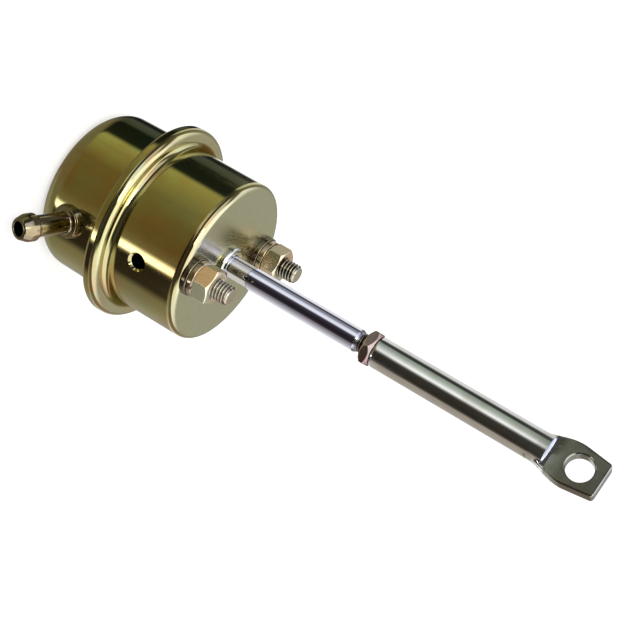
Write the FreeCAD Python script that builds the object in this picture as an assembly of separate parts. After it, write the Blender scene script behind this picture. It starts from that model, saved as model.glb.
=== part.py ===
import FreeCAD, Part
import math
import os

# Turbo wastegate actuator, in millimetres.
# A canister of two pressed steel cups, crimped together over a rubber diaphragm, pushes a rod
# against a coil spring. A screwed rod end with a flat eye carries the motion to the lever.
# The origin is the centre of the mounting face, +Z runs out along the rod, and +X points from
# the first stud to the second.

# Canister, pressed from sheet
sheet = 1.2
cup_dia = 50.5
front_cup_depth = 26.8
front_corner_radius = 2.0
rear_cup_depth = 25.0
rear_cup_taper = 0.5
rear_corner_radius = 7.0
flange_width = 5.55
flange_bend_radius = 1.5
hem_edge_radius = 0.9
hem_gap = 0.25

# Diaphragm, a moulded top hat with one rolling fold
rim_thickness = 1.2
rim_gap = 0.3
membrane = 0.9
fold_wall_gap = 0.35
fold_width = 3.8
fold_rise = 3.5

# Studs and what is on them
stud_dia = 6.0
stud_length = 13.6
stud_head_dia = 8.0
stud_head_thickness = 1.4
stud_wall_gap = 1.0
thread_chamfer = 0.7
flat_washer_dia = 12.0
flat_washer_thickness = 1.6
flat_washer_edge = 0.25
lock_washer_dia = 11.0
lock_washer_thickness = 1.6
lock_washer_edge = 0.2
lock_washer_slit = 1.0
lock_washer_slit_angle = 20.0
slit_turns = (200.0, 310.0)
stud_nut_flats = 10.0
stud_nut_thickness = 5.2
stud_nut_turns = (12.0, 40.0)
nut_entry_chamfer = 0.5
nut_corner_angle = 30.0
thread_fit = 0.05

# Hose barb and vent, both on the side away from the second stud
side_angle = 186.5
vent_dia = 4.4
vent_depth = 15.0
barb_rise = 13.0
barb_tilt = 14.0
barb_length = 18.2
barb_bore = 4.4
barb_shank_dia = 6.4
barb_root_radius = 0.8
barb_ridge_dia = 8.3
barb_ridge_edge = 0.15
barb_nose_dia = 6.6
barb_nose_length = 5.6
barb_nose_edge = 0.5
barb_collar_dia = 9.4
barb_collar_thickness = 1.6
barb_collar_edge = 0.4
barb_spigot_dia = 6.0
barb_spigot_length = 3.4

# Guide bush in the mounting face
bush_spigot_dia = 10.0
bush_lip_dia = 12.0
bush_lip_height = 1.5
bush_lip_edge = 1.1
bush_flange_thickness = 1.4
bush_nose_length = 6.5
bush_nose_edge = 0.5
guide_clearance = 0.05

# Push rod and what is riveted to its inner end
thread_dia = 6.0
shoulder_step = 0.5
rod_shoulder = 47.0
thread_length = 31.0
rod_edge = 0.6
spigot_dia = 5.0
rivet_head_dia = 8.4
rivet_head_thickness = 0.8
rivet_head_edge = 0.5
rivet_washer_dia = 14.0
rivet_washer_thickness = 0.8
retainer_inset = 2.1
retainer_thickness = 1.2
piston_sheet = 1.0
piston_height = 17.0
piston_corner_radius = 3.0
piston_fit = 0.3
hub_washer_thickness = 1.5
hub_washer_edge = 0.4
stop_gap = 0.3
hole_fit = 0.05
small_edge = 0.3

# Return spring and its front seat
spring_wire = 2.6
active_turns = 5.0
closed_pitch_gap = 0.3
tip_share = 0.35
spring_points_per_turn = 8
spring_fit = 0.3
seat_stud_gap = 0.45
seat_margin = 0.5
seat_thickness = 1.0
seat_collar_thickness = 1.15
seat_collar_height = 3.0

# Lock nut and rod end
thread_showing = 2.2
lock_nut_flats = 10.0
lock_nut_thickness = 3.3
lock_nut_turn = 18.0
lock_nut_gap = 0.1
sleeve_wall = 1.65
sleeve_length = 56.4
sleeve_start_edge = 0.5
sleeve_end_edge = 0.6
tap_clearance = 4.6
eye_hole_dia = 8.0
eye_hole_edge = 0.4
eye_thickness = 4.0
eye_root_land = 5.6
eye_side_land = 2.8
eye_tip_land = 3.1
eye_tip_taper = 1.4
eye_blend = 5.5
eye_belly_drop = 3.6
eye_belly_radius = 14.0
eye_root_inset = 0.9
eye_corner_radius = 0.9
eye_turn = 48.0

# Reach of a cutter past the face that it cuts
overcut = 1.0

# Canister's places that follow from the sizes above
front_radius = cup_dia / 2
bore_radius = front_radius - sheet
flange_radius = front_radius + flange_width
rim_radius = flange_radius - sheet - rim_gap
clamp_front = -front_cup_depth
clamp_rear = clamp_front - rim_thickness
rear_end = clamp_rear - rear_cup_depth
rear_end_radius = front_radius - rear_cup_taper
hem_front = clamp_front + 2 * sheet
flange_back = clamp_rear - sheet
hem_inner_radius = front_radius + flange_bend_radius + hem_gap
barb_height = rear_end + barb_rise
stud_head_radius = stud_head_dia / 2
stud_offset = bore_radius - stud_wall_gap - stud_head_radius
stud_places = (-stud_offset, stud_offset)
nut_low = flat_washer_thickness + lock_washer_thickness
nut_top = nut_low + stud_nut_thickness

# Places inside the canister, from its bore inwards and from its rear end forwards
fold_outer = bore_radius - fold_wall_gap
hat_inner = fold_outer - fold_width
piston_radius = hat_inner - piston_fit
seat_radius = stud_offset - stud_head_radius - seat_stud_gap
spring_radius = seat_radius - seat_margin
guide_radius = spring_radius - spring_wire - spring_fit
bush_flange_radius = guide_radius - seat_collar_thickness - hole_fit
seat_back = -sheet - seat_thickness
rivet_head_end = rear_end + sheet + stop_gap
rivet_washer_back = rivet_head_end + rivet_head_thickness
retainer_back = rivet_washer_back + rivet_washer_thickness
membrane_back = retainer_back + retainer_thickness
piston_back = membrane_back + membrane
piston_floor = piston_back + piston_sheet
rod_step = piston_floor + hub_washer_thickness

# Places along the rod
rod_radius = thread_dia / 2 + shoulder_step
thread_end = rod_shoulder + thread_length
lock_nut_start = rod_shoulder + thread_showing
sleeve_start = lock_nut_start + lock_nut_thickness + lock_nut_gap
sleeve_radius = thread_dia / 2 + thread_fit + sleeve_wall
sleeve_end = sleeve_start + sleeve_length
eye_centre = sleeve_end + eye_root_land + eye_hole_dia / 2
eye_end = eye_centre + eye_hole_dia / 2 + eye_tip_land

AXIS = FreeCAD.Vector(0, 0, 1)
CENTRE = FreeCAD.Vector(0, 0, 0)


def profile_edges(points, place):
    """Edges of a closed outline; each point is (a, b) or (a, b, corner radius)."""
    corners = []
    count = len(points)
    spots = [place(point[0], point[1]) for point in points]
    for index, point in enumerate(points):
        here = spots[index]
        radius = point[2] if len(point) > 2 else 0
        if radius == 0:
            corners.append((here, here, None))
            continue
        back = (spots[index - 1] - here).normalize()
        ahead = (spots[(index + 1) % count] - here).normalize()
        half = back.getAngle(ahead) / 2
        start = here + back * (radius / math.tan(half))
        end = here + ahead * (radius / math.tan(half))
        inward = (back + ahead).normalize()
        middle = here + inward * (radius / math.sin(half) - radius)
        corners.append((start, end, middle))
    edges = []
    for index, (start, end, middle) in enumerate(corners):
        last = corners[index - 1][1]
        if last.distanceToPoint(start) > 1e-5:
            edges.append(Part.makeLine(last, start))
        if middle is not None:
            edges.append(Part.Arc(start, middle, end).toShape())
    return edges


def turned(points):
    """Solid of revolution about the rod's axis from a half section of (radius, height) points."""
    edges = profile_edges(points, lambda radius, height: FreeCAD.Vector(radius, 0, height))
    face = Part.Face(Part.Wire(edges))
    return face.revolve(CENTRE, AXIS, 360)


def drum(radius, low, high, x=0.0, y=0.0):
    """Upright cylinder between two heights."""
    return Part.makeCylinder(radius, high - low, FreeCAD.Vector(x, y, low))


def side_direction(tilt=0.0):
    """Direction out of the canister's side at the barb's and vent's angle."""
    turn = math.radians(side_angle)
    lean = math.radians(tilt)
    flat = math.cos(lean)
    return FreeCAD.Vector(flat * math.cos(turn), flat * math.sin(turn), -math.sin(lean))


def cup_wall_radius(height):
    """Outer radius of the rear cup's drawn wall at a height."""
    share = (height - rear_end) / (flange_back - rear_end)
    return rear_end_radius + share * rear_cup_taper


def barb_foot():
    """Point where the barb's axis meets the rear cup's outer wall."""
    radius = cup_wall_radius(barb_height)
    out = side_direction()
    return FreeCAD.Vector(out.x * radius, out.y * radius, barb_height)


def front_cup():
    """Drawn cup with an out-turned flange, pierced for the bush, the studs and the vent."""
    top = clamp_front + sheet
    body = turned([
        (bush_spigot_dia / 2 + hole_fit, 0),
        (front_radius, 0, front_corner_radius),
        (front_radius, top, flange_bend_radius),
        (rim_radius, top),
        (rim_radius, clamp_front),
        (bore_radius, clamp_front, flange_bend_radius + sheet),
        (bore_radius, -sheet, front_corner_radius - sheet),
        (bush_spigot_dia / 2 + hole_fit, -sheet),
    ])
    for x in stud_places:
        body = body.cut(drum(stud_dia / 2 + hole_fit, -2 * sheet, sheet, x))
    inside = FreeCAD.Vector(0, 0, -vent_depth)
    vent = Part.makeCylinder(vent_dia / 2, 2 * front_radius, inside, side_direction())
    return body.cut(vent)


def rear_cup_outside():
    """Filled outer form of the rear cup, up to the back of its flange."""
    return turned([
        (0, rear_end),
        (rear_end_radius, rear_end, rear_corner_radius),
        (front_radius, flange_back, flange_bend_radius),
        (flange_radius, flange_back),
        (flange_radius, clamp_rear),
        (0, clamp_rear),
    ])


def rear_cup():
    """Deeper cup whose flange is hemmed forward over the front cup's flange."""
    body = turned([
        (0, rear_end),
        (rear_end_radius, rear_end, rear_corner_radius),
        (front_radius, flange_back, flange_bend_radius),
        (flange_radius, flange_back, hem_edge_radius),
        (flange_radius, hem_front, hem_edge_radius),
        (hem_inner_radius, hem_front, hem_edge_radius / 2),
        (hem_inner_radius, hem_front - sheet),
        (flange_radius - sheet, hem_front - sheet),
        (flange_radius - sheet, clamp_rear),
        (bore_radius, clamp_rear, flange_bend_radius + sheet),
        (rear_end_radius - sheet, rear_end + sheet, rear_corner_radius - sheet),
        (0, rear_end + sheet),
    ])
    out = side_direction(barb_tilt)
    inside = barb_foot() - out * barb_spigot_length
    hole = Part.makeCylinder(barb_spigot_dia / 2 + hole_fit, 2 * barb_spigot_length, inside, out)
    return body.cut(hole)


def hose_barb():
    """Turned tube brazed into the rear cup: spigot, saddle collar, shank and ridged nose."""
    shank = barb_shank_dia / 2
    ridge = barb_length - barb_nose_length
    body = turned([
        (0, 0),
        (barb_collar_dia / 2 + sheet, 0),
        (barb_collar_dia / 2, barb_collar_thickness, barb_collar_edge),
        (shank, barb_collar_thickness, barb_root_radius),
        (shank, ridge),
        (barb_ridge_dia / 2, ridge, barb_ridge_edge),
        (barb_nose_dia / 2, barb_length, barb_nose_edge),
        (0, barb_length),
    ])
    skirt = drum(barb_collar_dia / 2 + sheet, -2 * sheet, 0)
    spigot = drum(barb_spigot_dia / 2, -barb_spigot_length, 0)
    turn = FreeCAD.Rotation(AXIS, side_direction(barb_tilt))
    place = FreeCAD.Placement(barb_foot(), turn)
    outer = body.fuse(skirt)
    outer.Placement = place
    outer = outer.cut(rear_cup_outside())
    spigot.Placement = place
    tube = outer.fuse(spigot)
    bore = drum(barb_bore / 2, -barb_spigot_length - overcut, barb_length + overcut)
    bore.Placement = place
    return tube.cut(bore).removeSplitter()


def diaphragm():
    """Rubber membrane: clamped rim, one rolling fold and a hat that wraps the piston."""
    fold_radius = fold_width / 2
    fold_top = clamp_front + fold_rise
    fold_inner_radius = fold_radius - membrane
    return turned([
        (spigot_dia / 2 + hole_fit, piston_back),
        (hat_inner, piston_back, piston_corner_radius),
        (hat_inner, fold_top, fold_radius),
        (fold_outer, fold_top, fold_radius),
        (fold_outer, clamp_front, fold_radius),
        (rim_radius, clamp_front),
        (rim_radius, clamp_rear),
        (fold_outer - membrane, clamp_rear, membrane),
        (fold_outer - membrane, fold_top - membrane, fold_inner_radius),
        (hat_inner + membrane, fold_top - membrane, fold_inner_radius),
        (hat_inner + membrane, membrane_back, piston_corner_radius + membrane),
        (spigot_dia / 2 + hole_fit, membrane_back),
    ])


def guide_bush():
    """Bush swaged into the mounting face: inner flange, guide nose and rounded outer lip."""
    bore = rod_radius + guide_clearance
    nose_radius = bush_spigot_dia / 2
    flange_back_z = -sheet - bush_flange_thickness
    return turned([
        (bore, flange_back_z - bush_nose_length, small_edge),
        (nose_radius, flange_back_z - bush_nose_length, bush_nose_edge),
        (nose_radius, flange_back_z),
        (bush_flange_radius, flange_back_z, small_edge),
        (bush_flange_radius, -sheet),
        (nose_radius, -sheet),
        (nose_radius, 0),
        (bush_lip_dia / 2, 0),
        (bush_lip_dia / 2, bush_lip_height, bush_lip_edge),
        (bore, bush_lip_height, small_edge),
    ])


def spring_seat():
    """Pressed ring that centres the spring's front end on the bush flange."""
    inner = bush_flange_radius + hole_fit
    return turned([
        (inner, -sheet),
        (seat_radius, -sheet),
        (seat_radius, seat_back),
        (guide_radius, seat_back),
        (guide_radius, seat_back - seat_collar_height, seat_collar_thickness / 2),
        (inner, seat_back - seat_collar_height),
    ])


def spring_height(turns):
    """Height of the wire's centre above the spring's rear end, after some turns from its tip."""
    closed = spring_wire + closed_pitch_gap
    length = seat_back - piston_floor
    tip = spring_wire * (tip_share - 0.5)
    active = length - 2 * tip - 2 * closed
    if turns < 1:
        return tip + closed * turns
    if turns > active_turns + 1:
        return tip + closed * (turns - active_turns) + active
    return tip + closed + active * (turns - 1) / active_turns


def return_spring():
    """Coil spring with closed ends, ground flat, between its seat and the piston."""
    mean = spring_radius - spring_wire / 2
    count = int(round((active_turns + 2) * spring_points_per_turn))
    points = []
    for index in range(count + 1):
        turns = index / spring_points_per_turn
        angle = 2 * math.pi * turns
        height = piston_floor + spring_height(turns)
        points.append(FreeCAD.Vector(mean * math.cos(angle), mean * math.sin(angle), height))
    curve = Part.BSplineCurve()
    curve.interpolate(points)
    path = Part.Wire([curve.toShape()])
    along = curve.tangent(curve.FirstParameter)[0]
    circle = Part.Wire([Part.makeCircle(spring_wire / 2, points[0], along)])
    coil = path.makePipeShell([circle], True, True)
    return coil.common(drum(spring_radius + overcut, piston_floor, seat_back))


def piston_cup():
    """Pressed cup that carries the diaphragm and holds the spring's rear end."""
    rim = piston_back + piston_height
    inner = piston_radius - piston_sheet
    return turned([
        (spigot_dia / 2 + hole_fit, piston_back),
        (piston_radius, piston_back, piston_corner_radius),
        (piston_radius, rim, small_edge),
        (inner, rim, small_edge),
        (inner, piston_floor, piston_corner_radius - piston_sheet),
        (spigot_dia / 2 + hole_fit, piston_floor),
    ])


def hub_washer():
    """Washer under the rod's shoulder that also centres the spring."""
    return turned([
        (spigot_dia / 2 + hole_fit, piston_floor),
        (guide_radius, piston_floor),
        (guide_radius, rod_step, hub_washer_edge),
        (spigot_dia / 2 + hole_fit, rod_step),
    ])


def retainer_plate():
    """Plate behind the diaphragm, with its edge turned away from the rubber."""
    outer = piston_radius - retainer_inset
    return turned([
        (spigot_dia / 2 + hole_fit, retainer_back),
        (outer, retainer_back, small_edge),
        (outer, membrane_back, retainer_thickness / 2),
        (spigot_dia / 2 + hole_fit, membrane_back),
    ])


def rivet_washer():
    """Small washer under the rod's riveted end."""
    return turned([
        (spigot_dia / 2 + hole_fit, rivet_washer_back),
        (rivet_washer_dia / 2, rivet_washer_back, small_edge),
        (rivet_washer_dia / 2, retainer_back),
        (spigot_dia / 2 + hole_fit, retainer_back),
    ])


def rod():
    """Chromed push rod: riveted spigot, plain length and a screwed front end."""
    return turned([
        (0, rivet_head_end),
        (rivet_head_dia / 2, rivet_head_end, rivet_head_edge),
        (rivet_head_dia / 2, rivet_washer_back),
        (spigot_dia / 2, rivet_washer_back),
        (spigot_dia / 2, rod_step),
        (rod_radius, rod_step),
        (rod_radius, rod_shoulder - rod_edge),
        (rod_radius - rod_edge / 2, rod_shoulder),
        (thread_dia / 2, rod_shoulder),
        (thread_dia / 2, thread_end - thread_chamfer),
        (thread_dia / 2 - thread_chamfer, thread_end),
        (0, thread_end),
    ])


def stud(x):
    """Stud: free thread above its nut, a shank through the face, and a flat head inside the cup."""
    radius = stud_dia / 2
    body = turned([
        (0, stud_length),
        (radius - thread_chamfer, stud_length),
        (radius, stud_length - thread_chamfer),
        (radius, nut_top),
        (radius, -sheet),
        (stud_head_radius, -sheet),
        (stud_head_radius, -sheet - stud_head_thickness, small_edge),
        (0, -sheet - stud_head_thickness),
    ])
    body.translate(FreeCAD.Vector(x, 0, 0))
    return body


def flat_washer(x):
    """Plain washer under the lock washer."""
    body = turned([
        (stud_dia / 2 + 2 * thread_fit, 0),
        (flat_washer_dia / 2, 0, flat_washer_edge),
        (flat_washer_dia / 2, flat_washer_thickness, flat_washer_edge),
        (stud_dia / 2 + 2 * thread_fit, flat_washer_thickness),
    ])
    body.translate(FreeCAD.Vector(x, 0, 0))
    return body


def lock_washer(x, slit_turn):
    """Spring washer with a slanted slit."""
    low = flat_washer_thickness
    high = low + lock_washer_thickness
    body = turned([
        (stud_dia / 2 + 2 * thread_fit, low),
        (lock_washer_dia / 2, low, lock_washer_edge),
        (lock_washer_dia / 2, high, lock_washer_edge),
        (stud_dia / 2 + 2 * thread_fit, high),
    ])
    tall = 3 * lock_washer_thickness
    corner = FreeCAD.Vector(0, -lock_washer_slit / 2, -tall / 2)
    slit = Part.makeBox(lock_washer_dia, lock_washer_slit, tall, corner)
    slit.rotate(CENTRE, FreeCAD.Vector(1, 0, 0), lock_washer_slit_angle)
    slit.translate(FreeCAD.Vector(0, 0, (low + high) / 2))
    slit.rotate(CENTRE, AXIS, slit_turn)
    body = body.cut(slit)
    body.translate(FreeCAD.Vector(x, 0, 0))
    return body


def hex_nut(flats, thickness, bore, low, turn):
    """Hexagon nut, chamfered on both faces, with its lower face at a height."""
    corner = flats / math.sqrt(3)
    outline = []
    for index in range(7):
        angle = math.radians(60 * index + 30)
        outline.append(FreeCAD.Vector(corner * math.cos(angle), corner * math.sin(angle), 0))
    prism = Part.Face(Part.makePolygon(outline)).extrude(FreeCAD.Vector(0, 0, thickness))
    drop = (corner - flats / 2) * math.tan(math.radians(nut_corner_angle))
    rounding = turned([
        (0, 0),
        (flats / 2, 0),
        (corner, drop),
        (corner, thickness - drop),
        (flats / 2, thickness),
        (0, thickness),
    ])
    mouth = bore + nut_entry_chamfer + overcut
    hole = turned([
        (0, -overcut),
        (mouth, -overcut),
        (bore, nut_entry_chamfer),
        (bore, thickness - nut_entry_chamfer),
        (mouth, thickness + overcut),
        (0, thickness + overcut),
    ])
    nut = prism.common(rounding).cut(hole)
    nut.rotate(CENTRE, AXIS, turn)
    nut.translate(FreeCAD.Vector(0, 0, low))
    return nut


def stud_nut(x, turn):
    """Nut on a stud, above its two washers."""
    nut = hex_nut(stud_nut_flats, stud_nut_thickness, stud_dia / 2 + thread_fit, nut_low, turn)
    nut.translate(FreeCAD.Vector(x, 0, 0))
    return nut


def lock_nut():
    """Thin nut that locks the rod end on the rod's thread."""
    bore = thread_dia / 2 + thread_fit
    return hex_nut(lock_nut_flats, lock_nut_thickness, bore, lock_nut_start, lock_nut_turn)


def paddle_outline():
    """Flat eye's outline across its width: root inside the sleeve, belly at the hole, square tip."""
    root = sleeve_radius - eye_root_inset
    belly = eye_hole_dia / 2 + eye_side_land
    tip = belly - eye_tip_taper
    low = sleeve_end - eye_blend
    edges = profile_edges([
        (root, low),
        (belly, eye_centre - eye_belly_drop, eye_belly_radius),
        (tip, eye_end, eye_corner_radius),
        (-tip, eye_end, eye_corner_radius),
        (-belly, eye_centre - eye_belly_drop, eye_belly_radius),
        (-root, low),
    ], lambda across, height: FreeCAD.Vector(across, 0, height))
    return Part.Face(Part.Wire(edges))


def rod_end():
    """Tapped sleeve whose far end is pressed flat into an eye."""
    sleeve = turned([
        (0, sleeve_start),
        (sleeve_radius, sleeve_start, sleeve_start_edge),
        (sleeve_radius, sleeve_end, sleeve_end_edge),
        (0, sleeve_end),
    ])
    face = paddle_outline()
    face.translate(FreeCAD.Vector(0, -eye_thickness / 2, 0))
    paddle = face.extrude(FreeCAD.Vector(0, eye_thickness, 0))
    body = sleeve.fuse(paddle)
    half = eye_thickness / 2 + overcut
    hole_start = FreeCAD.Vector(0, -half, eye_centre)
    hole_axis = FreeCAD.Vector(0, 1, 0)
    hole = Part.makeCylinder(eye_hole_dia / 2, 2 * half, hole_start, hole_axis)
    body = body.cut(hole)
    for side in (-1, 1):
        mouth = Part.makeCone(
            eye_hole_dia / 2,
            eye_hole_dia / 2 + eye_hole_edge + overcut,
            eye_hole_edge + overcut,
            FreeCAD.Vector(0, side * (eye_thickness / 2 - eye_hole_edge), eye_centre),
            FreeCAD.Vector(0, side, 0),
        )
        body = body.cut(mouth)
    tap_end = thread_end + tap_clearance
    body = body.cut(drum(thread_dia / 2 + thread_fit, sleeve_start - overcut, tap_end))
    body = body.removeSplitter()
    body.rotate(CENTRE, AXIS, eye_turn)
    return body


def build():
    """Every sub-part by its node's name."""
    parts = {
        "front_cup": front_cup(),
        "rear_cup": rear_cup(),
        "hose_barb": hose_barb(),
        "diaphragm": diaphragm(),
        "guide_bush": guide_bush(),
        "spring_seat": spring_seat(),
        "return_spring": return_spring(),
        "piston_cup": piston_cup(),
        "hub_washer": hub_washer(),
        "retainer_plate": retainer_plate(),
        "rivet_washer": rivet_washer(),
        "rod": rod(),
        "lock_nut": lock_nut(),
        "rod_end": rod_end(),
    }
    for number, x in enumerate(stud_places):
        label = str(number + 1)
        parts["stud_" + label] = stud(x)
        parts["flat_washer_" + label] = flat_washer(x)
        parts["lock_washer_" + label] = lock_washer(x, slit_turns[number])
        parts["stud_nut_" + label] = stud_nut(x, stud_nut_turns[number])
    return parts


def main():
    os.makedirs("parts", exist_ok=True)
    for name, shape in build().items():
        solids = shape.Solids
        solid = solids[0] if len(solids) == 1 else Part.makeCompound(solids)
        box = solid.BoundBox
        print(name, len(solids), "solid", "valid" if solid.isValid() else "BAD", "volume %.1f" % solid.Volume,
              "z %.2f to %.2f" % (box.ZMin, box.ZMax))
        solid.exportStep("parts/" + name + ".step")


main()
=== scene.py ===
import bpy
import bmesh
import math
from mathutils import Matrix, Vector


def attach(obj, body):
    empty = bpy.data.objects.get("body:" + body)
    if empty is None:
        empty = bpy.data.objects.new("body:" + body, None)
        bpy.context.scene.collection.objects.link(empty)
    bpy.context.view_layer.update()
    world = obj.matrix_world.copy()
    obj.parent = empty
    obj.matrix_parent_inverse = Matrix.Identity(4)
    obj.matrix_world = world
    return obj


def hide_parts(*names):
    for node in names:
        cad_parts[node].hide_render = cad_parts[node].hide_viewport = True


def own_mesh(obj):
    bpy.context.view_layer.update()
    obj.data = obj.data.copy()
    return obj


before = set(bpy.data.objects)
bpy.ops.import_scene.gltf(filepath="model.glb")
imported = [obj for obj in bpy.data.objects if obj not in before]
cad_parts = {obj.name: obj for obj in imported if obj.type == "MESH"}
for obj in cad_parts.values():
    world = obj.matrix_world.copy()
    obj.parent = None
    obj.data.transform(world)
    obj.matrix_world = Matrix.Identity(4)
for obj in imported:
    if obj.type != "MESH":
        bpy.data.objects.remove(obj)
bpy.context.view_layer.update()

# The view
# The actuator stands on the rear cup's flat end with its rod upright. The camera looks down on it
# from the barb's side and is rolled, so that the rod runs to the lower right of the picture.
stud_line = (0.47883, -0.17598, 0.86010)  # the part's axes and origin, as the camera sees them:
cross_line = (0.34462, -0.86326, -0.36867)  # to the right, down and away from it
rod_line = (0.80746, 0.47295, -0.35266)
origin_seen = Vector((-0.02435, -0.01382, 0.5161))
focal_pixels = 1779
picture_pixels = 624
sensor = 36
camera_data = bpy.data.cameras.new("view")
camera = bpy.data.objects.new("view", camera_data)
bpy.context.collection.objects.link(camera)
back = Matrix((stud_line, cross_line, rod_line))
flip = Matrix(((1, 0, 0), (0, -1, 0), (0, 0, -1)))
camera.matrix_world = Matrix.Translation(-(back @ origin_seen)) @ (back @ flip).to_4x4()
camera_data.sensor_width = sensor
camera_data.lens = sensor * focal_pixels / picture_pixels
camera_data.clip_start = 0.02
bpy.context.scene.camera = camera
bpy.context.scene.view_settings.view_transform = "Standard"
camera_bearing = 156.8

# The table and the light
# A white table, a soft white room and one soft lamp. What the plated metal mirrors is pale panels
# and dark flags that stand round the table in rings, one above the other: a mirrored ray's slope
# picks the ring, and its bearing from the camera's picks the panel.
table_height = -0.053
table_reach = 4.0
table_white = 0.8
table_glow = 0.56
room_white = 0.75
lamp_size = 0.45
lamp_power = 4.5
lamp_place = (-0.75, 0.55, 0.85)
lamp_aim = (0, 0, 0.02)
panel_strength = 6.0


class Flow:
    """A socket of a node tree, so that sums on it read as sums."""

    def __init__(self, tree, socket=None):
        self.tree = tree
        self.socket = socket

    def node(self, kind, settings, sockets, out=0):
        made = self.tree.nodes.new(kind)
        for name, value in settings.items():
            if name == "stops":
                ramp = made.color_ramp
                ramp.elements[1].position = 1
                for _ in range(len(value) - 2):
                    ramp.elements.new(0.5)
                for stop, (spot, colour) in zip(ramp.elements, value):
                    stop.position = spot
                    stop.color = (*colour, 1)
            else:
                setattr(made, name, value)
        for key, value in sockets.items():
            if isinstance(value, Flow):
                self.tree.links.new(value.socket, made.inputs[key])
            else:
                made.inputs[key].default_value = value
        return Flow(self.tree, made.outputs[out])

    def pick(self, out):
        return Flow(self.tree, self.socket.node.outputs[out])

    def math(self, operation, first, second=0.0):
        return self.node("ShaderNodeMath", {"operation": operation}, {0: first, 1: second})

    def __add__(self, other):
        return self.math("ADD", self, other)

    __radd__ = __add__

    def __sub__(self, other):
        return self.math("SUBTRACT", self, other)

    def __rsub__(self, other):
        return self.math("SUBTRACT", other, self)

    def __mul__(self, other):
        return self.math("MULTIPLY", self, other)

    __rmul__ = __mul__

    def __truediv__(self, other):
        return self.math("DIVIDE", self, other)

    def step(self, low, high, start=0.0, end=1.0):
        return self.node("ShaderNodeMapRange", {"interpolation_type": "SMOOTHSTEP"},
                         {0: self, 1: low, 2: high, 3: start, 4: end})

    def blend(self, first, second):
        return self.node("ShaderNodeMix", {"data_type": "RGBA"}, {0: self, 6: first, 7: second}, 2)


def panels(levels):
    """Ramp stops from panels' bearings, in degrees from the camera's, brightness and tint."""
    stops = []
    for bearing, level, *tint in levels:
        share = level / panel_strength
        stops.append((0.5 + bearing / 360, tuple(share * part for part in (tint or (1, 1, 1)))))
    return stops


under_panels = panels([
    (-180, 0.27, 1.0, 0.97, 0.75), (-60, 0.3, 1.0, 0.95, 0.72), (60, 0.3, 1.0, 0.94, 0.75),
    (120, 0.5, 1.0, 0.97, 0.95), (180, 0.27, 1.0, 0.97, 0.75),
])
low_panels = panels([
    (-180, 1.5, 0.97, 1.0, 1.1), (-163, 1.3, 0.97, 1.0, 1.1), (-154, 0.02, 0.8, 1.0, 1.0),
    (-140, 0.02, 0.8, 1.0, 1.0), (-134, 0.13, 0.8, 1.0, 1.0), (-118, 0.11, 0.8, 1.0, 1.0),
    (-112, 0.02, 0.7, 1.0, 0.86), (-81, 0.03, 0.7, 1.0, 0.86), (-75, 0.62, 0.96, 1.0, 0.52),
    (-52, 0.44, 0.97, 0.95, 0.45), (-32, 0.28, 1.0, 0.9, 0.41), (22, 0.25, 1.0, 0.82, 0.41),
    (40, 0.36, 1.0, 0.88, 0.62), (46, 4.4, 1.0, 0.98, 1.1), (51, 4.4, 1.0, 0.98, 1.1),
    (54.5, 0.25, 1.0, 0.8, 0.62), (58, 0.04, 1.0, 0.8, 0.74), (88, 0.05, 1.0, 0.8, 0.74),
    (100, 0.36, 1.0, 0.88, 0.74), (140, 0.5, 1.0, 0.97, 0.86), (180, 0.35, 1.0, 0.97, 0.86),
])
rod_panels = panels([
    (-180, 1.1), (-106, 1.0), (-98, 0.08), (-84, 0.06), (-77, 0.30, 0.85, 0.9, 1.0),
    (-58, 0.42, 0.84, 0.9, 1.05), (-44, 1.0, 0.93, 0.97, 1.0), (-26, 1.15, 0.95, 0.98, 1.0),
    (-17, 0.45, 0.9, 0.9, 1.0), (-10, 0.06, 1.0, 0.8, 1.0), (20, 0.02, 1.0, 0.8, 1.0),
    (50, 0.03, 1.0, 0.85, 1.0), (60, 0.22, 1.0, 0.88, 0.93), (80, 0.42, 1.0, 0.93, 0.96),
    (112, 0.75), (150, 1.1), (180, 1.1),
])
sleeve_panels = panels([
    (-180, 1.0), (-112, 0.9), (-99, 0.07), (-77, 0.04), (-69, 0.42, 0.86, 1.0, 0.84),
    (-45, 0.62, 0.9, 1.0, 0.88), (-31, 0.9), (-22, 1.35), (-14, 1.3), (-4, 0.3),
    (5, 0.05, 1.0, 0.9, 0.7), (58, 0.03, 1.0, 0.85, 0.6), (70, 0.10, 1.0, 0.85, 0.7),
    (80, 0.48, 1.0, 0.86, 0.74),
    (140, 0.52, 1.0, 0.9, 0.8), (158, 0.9), (180, 1.0),
])
eye_panels = panels([
    (-180, 0.5), (-120, 0.3), (-80, 0.10, 0.95, 1.0, 0.9), (-20, 0.07, 1.0, 1.0, 0.9),
    (60, 0.1), (110, 0.3, 1.0, 0.84, 0.76), (150, 0.45, 1.0, 0.84, 0.76), (180, 0.5),
])
face_panels = panels([
    (-180, 0.64), (-148, 0.66), (-120, 1.7, 0.95, 0.97, 1.3), (-106, 1.8, 0.95, 0.97, 1.3),
    (-98, 0.2), (-86, 0.2), (-77, 1.2, 0.9, 0.93, 1.35), (-58, 1.3, 0.9, 0.93, 1.4),
    (-44, 1.9, 0.9, 0.93, 1.4), (-28, 2.0, 0.9, 0.93, 1.4), (-18, 0.8), (-11, 0.05), (52, 0.05),
    (60, 0.6), (68, 1.8, 1.0, 1.0, 1.3), (120, 1.8, 1.0, 1.0, 1.3), (148, 0.66), (180, 0.64),
])
sky_panels = panels([
    (-180, 2.6, 0.93, 0.96, 1.15), (-60, 2.6, 0.93, 0.96, 1.15), (90, 2.2, 0.95, 0.97, 1.1),
    (180, 2.6, 0.93, 0.96, 1.15),
])

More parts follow.
